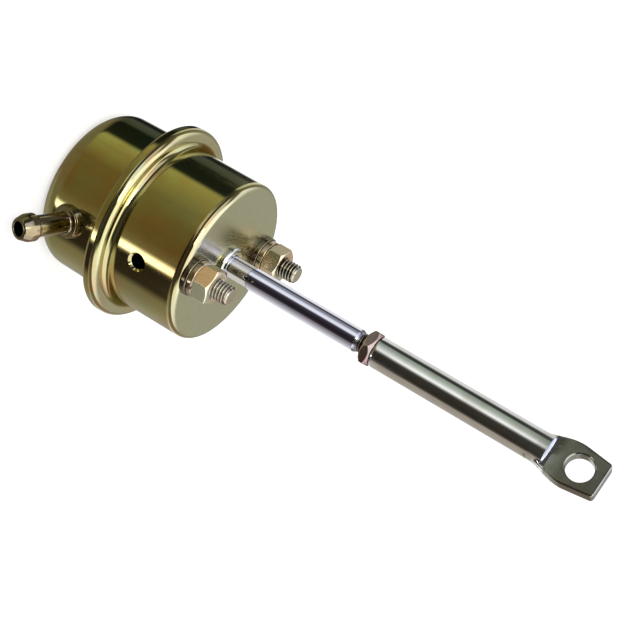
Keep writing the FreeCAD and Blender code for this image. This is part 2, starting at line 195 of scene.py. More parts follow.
# Slopes of a ray at which each ring takes over from the one under it. From the photograph's side
# the cups' walls mirror the low ring, then come the rod's, the sleeve's and the eye's, and the
# mounting face mirrors the one above them.
rings = (
    (-0.74, -0.54, low_panels), (-0.4065, -0.4025, rod_panels), (-0.322, -0.314, sleeve_panels),
    (-0.203, -0.197, eye_panels), (0.18, 0.3, face_panels), (0.72, 0.82, sky_panels),
)

world = bpy.data.worlds.new("room")
world.use_nodes = True
world.node_tree.nodes.clear()
bpy.context.scene.world = world
room = Flow(world.node_tree)
ray = room.node("ShaderNodeTexCoord", {}, {}, "Generated")
spread = room.node("ShaderNodeSeparateXYZ", {}, {0: ray})
bearing = room.math("ARCTAN2", spread.pick("Y"), spread.pick("X"))
around = room.math("FRACT", (bearing - math.radians(camera_bearing)) / math.tau + 0.5)
rise = spread.pick("Z")
mirrored = room.node("ShaderNodeValToRGB", {"stops": under_panels}, {0: around})
for start, end, stops in rings:
    ring = room.node("ShaderNodeValToRGB", {"stops": stops}, {0: around})
    mirrored = rise.step(start, end).blend(mirrored, ring)
glimpse = room.node("ShaderNodeLightPath", {}, {}, "Is Glossy Ray")
plain = room.node("ShaderNodeBackground", {}, {"Color": (1, 1, 1, 1), "Strength": room_white})
seen = room.node("ShaderNodeBackground", {}, {"Color": (1, 1, 1, 1), "Strength": 1.0})
mirror = room.node("ShaderNodeBackground", {}, {"Color": mirrored, "Strength": panel_strength})
eye_ray = room.math("MAXIMUM", glimpse.pick("Is Camera Ray"), glimpse.pick("Is Transmission Ray"))
light = room.node("ShaderNodeMixShader", {}, {0: eye_ray, 1: plain, 2: seen})
light = room.node("ShaderNodeMixShader", {}, {0: glimpse, 1: light, 2: mirror})
room_end = world.node_tree.nodes.new("ShaderNodeOutputWorld")
world.node_tree.links.new(light.socket, room_end.inputs["Surface"])

table_mesh = bpy.data.meshes.new("table")
table_mesh.from_pydata([
    (-table_reach, -table_reach, table_height), (table_reach, -table_reach, table_height),
    (table_reach, table_reach, table_height), (-table_reach, table_reach, table_height),
], [], [(0, 1, 2, 3)])
table = bpy.data.objects.new("table", table_mesh)
bpy.context.collection.objects.link(table)
table.visible_glossy = False  # the rings above are what is mirrored in its place
table_paint = bpy.data.materials.new("table")
table_paint.use_nodes = True
table_paint.node_tree.nodes.clear()
paint = Flow(table_paint.node_tree)
matt_white = (table_white, table_white, table_white, 1)
matt = paint.node("ShaderNodeBsdfDiffuse", {}, {"Color": matt_white})
glow = paint.node("ShaderNodeEmission", {}, {"Color": (1, 1, 1, 1), "Strength": table_glow})
both = paint.node("ShaderNodeAddShader", {}, {0: matt, 1: glow})
sight = paint.node("ShaderNodeLightPath", {}, {}, "Is Camera Ray")
table_look = paint.node("ShaderNodeMixShader", {}, {0: sight, 1: matt, 2: both})
table_end = table_paint.node_tree.nodes.new("ShaderNodeOutputMaterial")
table_paint.node_tree.links.new(table_look.socket, table_end.inputs["Surface"])
table_mesh.materials.append(table_paint)

lamp_data = bpy.data.lights.new("softbox", "AREA")
lamp_data.size = lamp_size
lamp_data.energy = lamp_power
lamp = bpy.data.objects.new("softbox", lamp_data)
lamp.location = lamp_place
lamp_way = Vector(lamp_place) - Vector(lamp_aim)
lamp.rotation_euler = lamp_way.to_track_quat("Z", "Y").to_euler()
bpy.context.collection.objects.link(lamp)

# Rear cup
# The deeper of the two cups, deep drawn from 1.2 mm steel. Its flange is hemmed forward over the
# front cup's, with the diaphragm's rim between them. Zinc plated, with a clear yellow passivate.
sheet = 1.2
cup_radius = 25.25
rim_radius = 30.8
hem_inner_radius = 27.0
hem_front = -24.4
clamp_front = -26.8
clamp_rear = -28.0
flange_back = -29.2
rear_end = -53.0
rear_end_radius = 24.75
bore_radius = 24.05
bend_radius = 2.7
end_corner = 7.0
zinc_gold = (0.45, 0.405, 0.165)
zinc_brown = (0.45, 0.325, 0.125)
zinc_green = (0.385, 0.41, 0.19)
zinc_pale = (0.44, 0.43, 0.26)
# Painted shade: the colour that darkens thread roots in place of their own shadow.
painted_thread_shade = (0.05, 0.045, 0.03)
thread_crest = 2.97
thread_root = 2.7
thread_tip = 13.2
arc_step = 12


def rounded(outline, closed):
    """Points of an outline with arcs for corners, each held tight by a point on either side."""
    count = len(outline)
    points = []
    for index, corner in enumerate(outline):
        here = Vector(corner[:2])
        radius = corner[2] if len(corner) > 2 else 0
        end = not closed and index in (0, count - 1)
        if radius == 0 or end:
            points.append(here)
            continue
        back = Vector(outline[index - 1][:2]) - here
        ahead = Vector(outline[(index + 1) % count][:2]) - here
        room_left = min(back.length, ahead.length)
        back.normalize()
        ahead.normalize()
        half = back.angle(ahead) / 2
        if half > math.radians(88):
            points.append(here)
            continue
        reach = radius / math.tan(half)
        inward = (back + ahead).normalized()
        middle = here + inward * (radius / math.sin(half))
        first = here + back * reach - middle
        last = here + ahead * reach - middle
        sweep = first.angle_signed(last)
        steps = max(3, math.ceil(abs(math.degrees(sweep)) / arc_step))
        spare = min(0.3 * radius + 0.04, 0.3 * max(room_left - reach, 0))
        if spare > 0.01:
            points.append(here + back * (reach + spare))
        for step in range(steps + 1):
            turned = Matrix.Rotation(-sweep * step / steps, 2) @ first
            points.append(middle + turned)
        if spare > 0.01:
            points.append(here + ahead * (reach + spare))
    return points


def finished_mesh(name, points, faces, sharp=32):
    """Object whose mesh, given in millimetres, is closed, faces outwards and is smooth."""
    mesh = bpy.data.meshes.new(name)
    mesh.from_pydata([Vector(point) * 0.001 for point in points], [], faces)
    body = bmesh.new()
    body.from_mesh(mesh)
    bmesh.ops.remove_doubles(body, verts=body.verts, dist=1e-7)
    bmesh.ops.recalc_face_normals(body, faces=body.faces)
    body.to_mesh(mesh)
    body.free()
    mesh.shade_smooth()
    mesh.set_sharp_from_angle(angle=math.radians(sharp))
    piece = bpy.data.objects.new(name, mesh)
    bpy.context.collection.objects.link(piece)
    return piece


def turned(name, outline, segments=160, place=None, sharp=32):
    """Piece turned about the rod's axis from (radius, height, corner radius) points."""
    closed = outline[0][0] > 0 or outline[-1][0] > 0
    line = rounded(outline, closed)
    points = []
    rows = []
    for radius, height in line:
        if radius < 1e-6:
            rows.append([len(points)] * segments)
            points.append((0, 0, height))
            continue
        rows.append(list(range(len(points), len(points) + segments)))
        for index in range(segments):
            angle = math.tau * index / segments
            points.append((radius * math.cos(angle), radius * math.sin(angle), height))
    faces = []
    for row, upper_row in zip(rows, rows[1:] + (rows[:1] if closed else [])):
        for index in range(segments):
            after = (index + 1) % segments
            corners = [row[index], row[after], upper_row[after], upper_row[index]]
            face = list(dict.fromkeys(corners))
            if len(face) > 2:
                faces.append(face)
    if place is not None:
        points = [place(Vector(point)) for point in points]
    return finished_mesh(name, points, faces, sharp)


def settled(piece, sharp):
    """Puts the plain, smooth mesh that a piece's modifiers make in place of them."""
    ready = piece.evaluated_get(bpy.context.evaluated_depsgraph_get())
    mesh = bpy.data.meshes.new_from_object(ready)
    piece.modifiers.clear()
    old = piece.data
    piece.data = mesh
    bpy.data.meshes.remove(old)
    mesh.shade_smooth()
    mesh.set_sharp_from_angle(angle=math.radians(sharp))


def finish_start(name):
    """A finish, a Flow for its nodes, and the Object coordinates that its patterns follow."""
    finish = bpy.data.materials.new(name)
    finish.use_nodes = True
    flow = Flow(finish.node_tree)
    return finish, flow, flow.node("ShaderNodeTexCoord", {}, {}, "Object")


def clouds(flow, spot, scale, detail, rough=0.5, drawn=1.0):
    """Noise over a piece, drawn out along the rod's axis where drawn is below 1."""
    if drawn < 1:
        spot = flow.node("ShaderNodeMapping", {}, {"Vector": spot, "Scale": (1.0, 1.0, drawn)})
    return flow.node("ShaderNodeTexNoise", {}, {
        "Vector": spot, "Scale": scale, "Detail": detail, "Roughness": rough,
    })


def finish_end(finish, flow, colour, roughness, relief, strength, depth, metallic=1.0):
    """Leads a finish's colour, roughness and relief to its shader."""
    shader = finish.node_tree.nodes["Principled BSDF"]
    bump = flow.node("ShaderNodeBump", {}, {
        "Strength": strength, "Distance": depth, "Height": relief,
    })
    for label, value in (("Base Color", colour), ("Roughness", roughness), ("Normal", bump)):
        flow.tree.links.new(value.socket, shader.inputs[label])
    shader.inputs["Metallic"].default_value = metallic
    return finish


def valleys(flow, spot, offset):
    """Mask for painted shade: 0 at a thread's crests, 1 at its roots, for threads at x = +-offset
    mm.
    """
    parts = flow.node("ShaderNodeSeparateXYZ", {}, {0: spot})
    aside = flow.math("ABSOLUTE", parts.pick("X")) - offset * 0.001
    across = parts.pick("Y")
    out = flow.math("SQRT", aside * aside + across * across)
    deep = out.step(thread_crest * 0.001, thread_root * 0.001)
    if offset:
        tip = parts.pick("Z").step((thread_tip + 0.1) * 0.001, (thread_tip - 0.1) * 0.001)
        deep = deep * tip
    return deep


def zinc(name, gold, brown, green, patch, grain, rough,
         pale=0.0, pale_top=0.0, threads_at=None, painted_flat_reflections=()):
    """Clear yellow passivate on zinc: gold that drifts to brown and to green, over drawing lines.

    It is paler and more satin on a face whose height in metres is pale_top, has painted shade in
    the roots of threads, and takes painted reflections, tan or pale green, on a nut's flats, given
    as (nut's x, flat's way and reach, tint)."""
    finish, flow, spot = finish_start(name)
    parts = flow.node("ShaderNodeSeparateXYZ", {}, {0: spot})
    moved = flow.node("ShaderNodeMapping", {}, {"Vector": spot, "Location": (0.31, 0.17, 0.53)})
    patches = clouds(flow, spot, patch, 3.0, 0.55)
    drift = clouds(flow, moved, patch * 1.9, 2.0)
    lines = clouds(flow, spot, grain, 4.0, 0.7, 0.05)
    specks = clouds(flow, spot, grain * 2.5, 2.0)
    colour = patches.step(0.42, 0.64).blend((*gold, 1), (*brown, 1))
    colour = (drift.step(0.5, 0.72) * 0.7).blend(colour, (*green, 1))
    face = parts.pick("Z").step(pale_top - 0.0009, pale_top - 0.0002) * pale
    colour = face.blend(colour, (*zinc_pale, 1))
    # Painted reflections: whole flats of a nut take a tint that stands in for what they mirror.
    for x, way, reach, tint in painted_flat_reflections:
        across = (parts.pick("X") - x * 0.001) * math.cos(math.radians(way))
        out = across + parts.pick("Y") * math.sin(math.radians(way))
        painted_reflection = out.step((reach - 0.35) * 0.001, (reach - 0.15) * 0.001) * 0.85
        colour = painted_reflection.blend(colour, (*tint, 1))
    if threads_at is not None:
        # Painted shade in the thread roots.
        colour = (valleys(flow, spot, threads_at) * 0.9).blend(colour, (*painted_thread_shade, 1))
    darker = flow.node("ShaderNodeMix", {"data_type": "RGBA", "blend_type": "MULTIPLY"},
                       {0: lines.step(0.45, 0.75) * 0.25, 6: colour, 7: (0.75, 0.72, 0.66, 1)}, 2)
    roughness = lines * 0.06 + specks.step(0.6, 0.8) * 0.06 + face * 0.16 + rough
    return finish_end(finish, flow, darker, roughness, lines * 0.85 + specks * 0.15, 0.06, 0.00002)


def fitted(piece, node, body, finish):
    """Gives a piece its finish and puts it on its body in place of a CAD node."""
    piece.data.materials.clear()
    piece.data.materials.append(finish)
    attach(piece, body)
    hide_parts(node)


cup_zinc = zinc("cup_zinc", zinc_gold, zinc_brown, zinc_green, 48, 420, 0.06,
                pale=0.5, pale_top=hem_front * 0.001)
rear_cup = turned("rear_cup_pressing", [
    (0, rear_end),
    (rear_end_radius, rear_end, end_corner),
    (rear_end_radius + 0.2, -43.0),
    (rear_end_radius + 0.25, -40.0),
    (rear_end_radius + 0.3, -37.0),
    (cup_radius, flange_back, 1.5),
    (rim_radius, flange_back, 1.1),
    (rim_radius, hem_front - 0.1, 2.3),
    (28.3, hem_front - 0.01),
    (27.8, hem_front),
    (hem_inner_radius, hem_front - 0.12, 0.45),
    (hem_inner_radius, hem_front - sheet, 0.1),
    (rim_radius - sheet, hem_front - sheet, 0.2),
    (rim_radius - sheet, clamp_rear, 0.2),
    (bore_radius, clamp_rear, bend_radius),
    (rear_end_radius - sheet, rear_end + sheet, end_corner - sheet),
    (0, rear_end + sheet),
], 200)
fitted(rear_cup, "rear_cup", "canister", cup_zinc)

# Front cup
# The shallower cup, drawn from the same sheet, with a flat mounting face. It is pierced for the
# guide bush and the studs, and a 4.4 mm vent in its side is punched from outside.
front_corner = 2.0
root_radius = 2.3
flange_radius = 29.3
bush_hole = 5.05
vent_depth = -15.0
vent_radius = 2.2
vent_lip = 0.45
side_angle = 186.5
side_way = Vector((math.cos(math.radians(side_angle)), math.sin(math.radians(side_angle)), 0))
front_cup = turned("front_cup_pressing", [
    (bush_hole, 0, 0.1),
    (18.0, 0),
    (cup_radius, 0, front_corner),
    *[(cup_radius, vent_depth + 1.5 * step) for step in range(3, -4, -1)],
    (cup_radius, clamp_front + sheet, root_radius),
    (flange_radius, clamp_front + sheet, 0.2),
    (flange_radius, clamp_front, 0.2),
    (bore_radius, clamp_front, bend_radius),
    (bore_radius, -sheet, 0.8),
    (bush_hole, -sheet, 0.1),
], 200)


def cut_by(piece, cutter, sharp=32):
    """The piece with the cutter's space taken out of it."""
    knife = piece.modifiers.new("cut", "BOOLEAN")
    knife.operation = "DIFFERENCE"
    knife.solver = "EXACT"
    knife.object = cutter
    settled(piece, sharp)
    bpy.data.objects.remove(cutter)


vent_way = side_way.to_track_quat("Z", "Y").to_matrix()
vent_foot = side_way * cup_radius + Vector((0, 0, vent_depth))
vent_cutter = turned("vent_cutter", [
    (0, -4),
    (vent_radius, -4),
    (vent_radius, -0.3 - vent_lip, 0.5),
    (vent_radius + 2.4, 2.0 - vent_lip),
    (0, 2.0),
], 48, lambda point: vent_way @ point + vent_foot)
cut_by(front_cup, vent_cutter)
face_zinc = zinc("face_zinc", zinc_gold, zinc_brown, zinc_green, 48, 420, 0.06, pale=0.85)
fitted(front_cup, "front_cup", "canister", face_zinc)

# Hose barb
# A turned steel tube with a ridge that grips the hose, brazed through a saddle collar into the
# rear cup's side. Plated with the cups, a little darker and browner all over.
barb_height = -40.0
barb_tilt = 14.0
barb_bore = 2.2
barb_foot_radius = 3.0
barb_shank = 3.2
barb_ridge = 4.15
barb_length = 18.2
collar_radius = 5.9
collar_sink = 0.45
barb_zinc = zinc("barb_zinc", (0.27, 0.225, 0.112), (0.27, 0.165, 0.09), (0.2, 0.2, 0.112),
                 110, 700, 0.1)
lean = math.radians(barb_tilt)
barb_way = Vector((side_way.x * math.cos(lean), side_way.y * math.cos(lean), -math.sin(lean)))
barb_turn = barb_way.to_track_quat("Z", "Y").to_matrix()
cup_widening = (cup_radius - rear_end_radius) / (flange_back - rear_end)
barb_wall = rear_end_radius + cup_widening * (barb_height - rear_end)
barb_foot = side_way * barb_wall + Vector((0, 0, barb_height))


def on_barb(point):
    """Place of a point of the upright barb; its collar is drawn down to follow the cup's wall."""
    if point.z > 0.5 or point.xy.length < 3.5:
        return barb_turn @ point + barb_foot
    start = barb_turn @ Vector((point.x, point.y, 0)) + barb_foot
    wall = barb_wall - collar_sink
    square = barb_way.xy.length_squared
    toward = start.xy.dot(barb_way.xy)
    outside = start.xy.length_squared - wall * wall
    along = (math.sqrt(toward * toward - square * outside) - toward) / square
    return start + barb_way * (along + point.z)


barb = turned("hose_barb_turning", [
    (barb_bore, -3.4, 0.1),
    (barb_foot_radius, -3.4, 0.1),
    (barb_foot_radius, 0.0, 0.1),
    (3.6, 0.0),
    (collar_radius, 0.0),
    (collar_radius, 0.25),
    (4.9, 0.5),
    (4.7, 0.85, 0.2),
    (4.7, 1.6, 0.4),
    (barb_shank, 1.6, 0.8),
    (barb_shank, 11.9, 0.1),
    (3.0, 12.0, 0.1),
    (3.0, 12.3, 0.1),
    (3.45, 12.5, 0.15),
    (barb_ridge, 13.1, 0.8),
    (4.1, 15.6, 3.0),
    (3.1, barb_length, 0.8),
    (barb_bore, barb_length, 0.25),
], 96, on_barb)
fitted(barb, "hose_barb", "canister", barb_zinc)

# Guide bush
# A turned steel bush that the rod slides in, swaged into the mounting face. Only its rounded lip
# stands out, polished by handling.
bush_bore = 3.55
bush_radius = 5.0
bush_flange = 10.0
bush_lip = 6.0
bush_top = 1.5
bush_back = -9.1
flange_depth = -2.6
bush_steel = zinc("bush_steel", (0.52, 0.52, 0.40), (0.46, 0.43, 0.30), (0.45, 0.51, 0.39),
                  160, 900, 0.12)
bush = turned("guide_bush_turning", [
    (bush_bore, bush_back, 0.3),
    (bush_radius, bush_back, 0.5),
    (bush_radius, flange_depth, 0.1),
    (bush_flange, flange_depth, 0.3),
    (bush_flange, -sheet, 0.1),
    (bush_radius, -sheet),
    (bush_radius, 0),
    (bush_lip, 0, 0.1),
    (bush_lip, bush_top, 1.1),
    (bush_bore, bush_top, 0.3),
], 96)
fitted(bush, "guide_bush", "canister", bush_steel)

# Studs
# Two 6 mm steel studs pressed through the mounting face, with a flat head inside and a rolled
# thread of 1 mm pitch outside. Zinc plated and passivated like the cups.
stud_places = (-19.05, 19.05)
stud_radius = 3.0
stud_length = 13.6
stud_head_radius = 4.0
stud_head_back = -2.6
thread_pitch = 1.0
thread_depth = 0.58
thread_flats = (0.06, 0.88)
thread_rows = 0.07
fastener_zinc = zinc("fastener_zinc", (0.42, 0.38, 0.25), (0.43, 0.33, 0.20), (0.35, 0.40, 0.26),
                     90, 800, 0.1, threads_at=stud_places[1])


def tree_start(name, inputs):
    """A Flow on a new node tree with inputs given as (label, kind), and the node they come from."""
    tree = bpy.data.node_groups.new(name, "GeometryNodeTree")
    for label, kind in inputs:
        tree.interface.new_socket(label, in_out="INPUT", socket_type="NodeSocket" + kind)
    tree.interface.new_socket("Made", in_out="OUTPUT", socket_type="NodeSocketGeometry")
    flow = Flow(tree)
    return flow, flow.node("NodeGroupInput", {}, {})


def tree_end(flow, shape, finish):
    """The node tree, with its shape made real, given its finish and led out."""
    real = flow.node("GeometryNodeRealizeInstances", {}, {0: shape})
    coated = flow.node("GeometryNodeSetMaterial", {}, {"Geometry": real, "Material": finish})
    end = flow.tree.nodes.new("NodeGroupOutput")
    flow.tree.links.new(coated.socket, end.inputs[0])
    return flow.tree


def shaped_by(piece, tree, wanted, sharp):
    """Runs a node tree with these inputs on a piece, and leaves the result as a plain mesh."""
    shaper = piece.modifiers.new(tree.name, "NODES")
    shaper.node_group = tree
    for item in tree.interface.items_tree:
        if item.name in wanted:
            shaper[item.identifier] = wanted[item.name]
    settled(piece, sharp)


def thread_tree():
    """Node tree that sinks a screw thread into a plain turned blank and puts it in place."""
    flow, given = tree_start("rolled_thread", (
        ("Blank", "Geometry"), ("Pitch", "Float"), ("Depth", "Float"), ("Radius", "Float"),
        ("Low", "Float"), ("High", "Float"), ("Place", "Vector"), ("Finish", "Material"),
    ))
    spot = flow.node("GeometryNodeInputPosition", {}, {})
    parts = flow.node("ShaderNodeSeparateXYZ", {}, {0: spot})
    across = parts.pick("X")
    aside = parts.pick("Y")
    height = parts.pick("Z")
    radius = flow.math("SQRT", across * across + aside * aside)
    angle = flow.math("ARCTAN2", aside, across)
    phase = flow.math("FRACT", height / given.pick("Pitch") - angle / math.tau)
    form = flow.math("ABSOLUTE", phase * 2 - 1).step(*thread_flats)
    run_in = (height - given.pick("Low")) / (given.pick("Pitch") * 0.8)
    run_in = flow.node("ShaderNodeClamp", {}, {0: run_in})
    above = flow.math("GREATER_THAN", height, given.pick("Low"))
    below = flow.math("LESS_THAN", height, given.pick("High"))
    limit = given.pick("Radius") - given.pick("Depth") * form * run_in
    limit = limit + (1 - above * below)
    share = flow.math("MINIMUM", radius, limit) / flow.math("MAXIMUM", radius, 0.000001)
    sunk = flow.node("ShaderNodeCombineXYZ", {}, {0: across * share, 1: aside * share, 2: height})
    rolled = flow.node("GeometryNodeSetPosition", {}, {
        "Geometry": given.pick("Blank"), "Position": sunk,
    })
    placed = flow.node("GeometryNodeTransform", {}, {
        "Geometry": rolled, "Translation": given.pick("Place"),
    })
    return tree_end(flow, placed, given.pick("Finish"))


rolled_thread = thread_tree()


def threaded(blank, radius, low_end, high_end, place, finish):
    """Threads a blank between two heights and moves it to its place, all in millimetres."""
    shaped_by(blank, rolled_thread, {
        "Pitch": thread_pitch * 0.001,
        "Depth": thread_depth * 0.001,
        "Radius": radius * 0.001,
        "Low": low_end * 0.001,
        "High": high_end * 0.001,
        "Place": tuple(part * 0.001 for part in place),
        "Finish": finish,
    }, 58)


def ladder(radius, low_end, high_end):
    """Outline points up a plain length, close enough together to carry a thread."""
    length = high_end - low_end
    count = round(length / thread_rows)
    return [(radius, low_end + length * step / count) for step in range(count + 1)]


for number, x in enumerate(stud_places):
    label = str(number + 1)
    stud = turned("stud_blank_" + label, [
        (0, stud_head_back),
        (stud_head_radius, stud_head_back, 0.3),
        (stud_head_radius, -sheet, 0.1),
        (stud_radius, -sheet),
        *ladder(stud_radius, -1.0, stud_length - 0.7),
        (2.72, stud_length - 0.35),
        (2.3, stud_length, 0.1),
        (0, stud_length),
    ], 72)
    threaded(stud, stud_radius, 0.2, stud_length, (x, 0, 0), fastener_zinc)
    fitted(stud, "stud_" + label, "canister", fastener_zinc)
    # The near stud isn't mirrored: the rod would show it as a golden streak.
    stud.visible_glossy = number == 1

# Stud washers
# Under each nut a punched flat washer, and on it a split spring washer of rectangular wire whose
# ends stand a little apart at a slant.
flat_washer_radius = 6.0
lock_washer_radius = 5.5
washer_thickness = 1.6
washer_bore = 3.1
slit_turns = (200.0, 310.0)
slit_half = 0.5
slit_slant = 20.0


def skin(rows, around, closed=False):
    """Faces between rows of points that each run once round a piece."""
    faces = []
    for row in range(rows if closed else rows - 1):
        above = (row + 1) % rows
        for index in range(around):
            after = (index + 1) % around
            faces.append([row * around + index, row * around + after,
                          above * around + after, above * around + index])
    return faces


def spring_washer(name, x, turn_degrees):
    """One turn of rectangular wire, its two ends cut on a slant."""
    low_side = washer_thickness
    high_side = 2 * washer_thickness
    section = rounded([
        (washer_bore, low_side, 0.2),
        (lock_washer_radius, low_side, 0.25),
        (lock_washer_radius, high_side, 0.25),
        (washer_bore, high_side, 0.2),
    ], True)
    count = len(section)
    steps = 96
    middle_height = (low_side + high_side) / 2
    points = []
    for step in range(steps + 1):
        for radius, height in section:
            gap = slit_half / radius
            sweep = gap + (math.tau - 2 * gap) * step / steps
            slant = math.tan(math.radians(slit_slant)) * (height - middle_height) / radius
            angle = math.radians(turn_degrees) + sweep - slant
            points.append((x + radius * math.cos(angle), radius * math.sin(angle), height))
    ends = [list(range(count)), list(range(steps * count, (steps + 1) * count))]
    return finished_mesh(name, points, ends + skin(steps + 1, count))


# Painted shade: the flat washers are near-black brown, standing in for the shadow between the
# mounting face and the spring washers.
washer_painted_shade = zinc("washer_painted_shade", (0.17, 0.15, 0.09), (0.16, 0.11, 0.07), (0.13, 0.14, 0.09),
                   130, 800, 0.12)
for number, x in enumerate(stud_places):
    label = str(number + 1)
    washer = turned("flat_washer_punching_" + label, [
        (washer_bore, 0, 0.1),
        (flat_washer_radius, 0, 0.2),
        (flat_washer_radius, washer_thickness, 0.4),
        (washer_bore, washer_thickness, 0.15),
    ], 96, lambda point: point + Vector((x, 0, 0)))
    fitted(washer, "flat_washer_" + label, "canister", washer_painted_shade)
    split = spring_washer("spring_washer_wire_" + label, x, slit_turns[number])
    fitted(split, "lock_washer_" + label, "canister", fastener_zinc)

# Stud nuts
# Two 6 mm nuts, 10 mm across flats, cold formed with a 30 degree chamfer on both faces, so each
# flat ends in a curved edge. They hold the washers for transport and later the bracket.
nut_flats = 10.0
nut_bore = stud_radius + 0.05
stud_nut_low = 3.2
stud_nut_thickness = 5.2
stud_nut_turns = (20.0, 40.0)
nut_corner = 0.28
nut_edge = 0.12


def hex_nut(name, thickness, low_side, turn_degrees, x, face_share=0.955, chamfer=30):
    """Nut whose rings follow the hexagon, so that the chamfer's curved edges are exact."""
    half = nut_flats / 2
    across_corners = half / math.cos(math.pi / 6)
    ways = [math.radians(60 * index + 30) for index in range(6)]
    corners = rounded([(math.cos(way) * across_corners, math.sin(way) * across_corners, nut_corner)
                       for way in ways], True)
    loop = []
    for here, ahead in zip(corners, corners[1:] + corners[:1]):
        pieces = max(1, round((ahead - here).length / 0.5))
        loop += [here.lerp(ahead, share / pieces) for share in range(pieces)]
    face_radius = half * face_share
    fall = math.tan(math.radians(chamfer))

    def slope(reach, inset, drop):
        """Point on the chamfer, inset from the flat and dropped below the cone."""
        return reach - inset, (reach - inset - face_radius) * fall + drop

    columns = []
    for flat in loop:
        reach = flat.length
        section = [
            (nut_bore, 0.5),
            (nut_bore + 0.42, 0.04),
            (nut_bore + 0.55, 0),
            (face_radius - 0.2, 0),
            (face_radius, 0.01),
            (face_radius + 0.1, 0.1 * fall),
            slope(reach, nut_edge * 2.2, 0),
            slope(reach, nut_edge, 0),
            slope(reach, nut_edge * 0.25, nut_edge * 0.3),
            slope(reach, 0, nut_edge),
            slope(reach, 0, nut_edge * 2.5),
        ]
        columns.append([(radius, thickness - depth) for radius, depth in section] + section[::-1])
    spin = math.radians(turn_degrees)
    points = []
    for ring in zip(*columns):
        for flat, (radius, height) in zip(loop, ring):
            angle = math.atan2(flat.y, flat.x) + spin
            points.append((x + radius * math.cos(angle), radius * math.sin(angle),
                           height + low_side))
    return finished_mesh(name, points, skin(len(columns[0]), len(loop), True), 26)


# On the near nut the flat facing 140 degrees gets a painted tan reflection, the one facing 200
# degrees a painted pale green one.
nut_zinc = zinc("nut_zinc", (0.58, 0.49, 0.31), (0.64, 0.45, 0.27), (0.50, 0.54, 0.34),
                90, 800, 0.24, painted_flat_reflections=(
                    (stud_places[0], 140.0, nut_flats / 2, (0.80, 0.52, 0.26)),
                    (stud_places[0], 200.0, nut_flats / 2, (0.86, 0.92, 0.62)),
                ))
for number, x in enumerate(stud_places):
    label = str(number + 1)
    nut = hex_nut("stud_nut_forging_" + label, stud_nut_thickness, stud_nut_low,
                  stud_nut_turns[number], x)
    fitted(nut, "stud_nut_" + label, "canister", nut_zinc)
    # The near nut isn't mirrored either.
    nut.visible_glossy = number == 1

# Push rod
# Ground steel rod, hard chromed and polished to run in the bush. Its front end is turned down and
# threaded for the rod end, and its inner end is riveted over the diaphragm's washers.
rod_radius = 3.5
rod_shoulder = 47.0
thread_end = 78.0
rivet_end = -51.5
rivet_head = 0.8
rivet_radius = 4.2
rivet_neck = 2.5
piston_seat = -45.3


def chrome(name):
    """Hard chrome on the plain length, dull grey steel on the screwed end."""
    finish, flow, spot = finish_start(name)
    height = flow.node("ShaderNodeSeparateXYZ", {}, {0: spot}, "Z")
    screwed = height.step((rod_shoulder - 0.8) * 0.001, (rod_shoulder - 0.4) * 0.001)
    lines = clouds(flow, spot, 1500, 3, 0.7, 0.03)
    haze = clouds(flow, spot, 90, 3)
    bright = haze.step(0.4, 0.7).blend((0.74, 0.73, 0.80, 1), (0.68, 0.68, 0.74, 1))
    colour = screwed.blend(bright, (0.34, 0.33, 0.31, 1))
    # Painted shade in the roots of the rod's thread.
    colour = (valleys(flow, spot, 0.0) * screwed * 0.85).blend(colour, (*painted_thread_shade, 1))
    roughness = lines * 0.02 + haze.step(0.5, 0.75) * 0.015 + screwed * 0.22 + 0.015
    return finish_end(finish, flow, colour, roughness, lines, 0.03, 0.00001)


rod_chrome = chrome("rod_chrome")
rod = turned("push_rod_turning", [
    (0, rivet_end),
    (rivet_radius, rivet_end, 0.5),
    (rivet_radius, rivet_end + rivet_head, 0.1),
    (rivet_neck, rivet_end + rivet_head),
    (rivet_neck, piston_seat),
    (rod_radius, piston_seat, 0.2),
    (rod_radius, rod_shoulder - 0.75, 0.15),
    (rod_radius - 0.35, rod_shoulder, 0.1),
    (stud_radius, rod_shoulder),
    *ladder(stud_radius, rod_shoulder + 0.05, thread_end - 0.7),
    (2.65, thread_end - 0.35),
    (2.3, thread_end, 0.1),
    (0, thread_end),
], 80)
threaded(rod, stud_radius, rod_shoulder + 0.04, thread_end, (0, 0, 0), rod_chrome)
fitted(rod, "rod", "push_rod", rod_chrome)

# Lock nut
# A thin 6 mm nut that locks the rod end on the rod's thread. Its passivate has come out a reddish
# bronze.
lock_zinc = zinc("lock_zinc", (0.35, 0.27, 0.22), (0.33, 0.22, 0.175), (0.30, 0.26, 0.22),
                 150, 800, 0.09)
lock_low = 49.2
lock_thickness = 3.3
lock_turn = 7.0
lock = hex_nut("lock_nut_forging", lock_thickness, lock_low, lock_turn, 0,
               face_share=0.91, chamfer=43)
fitted(lock, "lock_nut", "lock_nut", lock_zinc)

# Rod end
# A drawn steel sleeve, tapped 6 mm from one end. The other end is pressed flat into an eye, which
# leaves a short shoulder, and drilled 8 mm for the lever's pin. Bright zinc plated.
sleeve_radius = 4.7
sleeve_start = 52.6
sleeve_end = 109.0
sleeve_edge = 0.5
tap_end = 82.6
tap_radius = 3.05
press_start = 103.4
press_length = 3.2
eye_centre = 118.6
eye_end = 125.7
eye_half = 2.0
eye_root = 3.8
eye_belly = 6.8
eye_tip = 5.4
eye_turn = 48.0
tip_round = 0.9
tip_edge = 0.4
flank_start = 105.5
flank_length = 7.0
pin_hole = 4.0


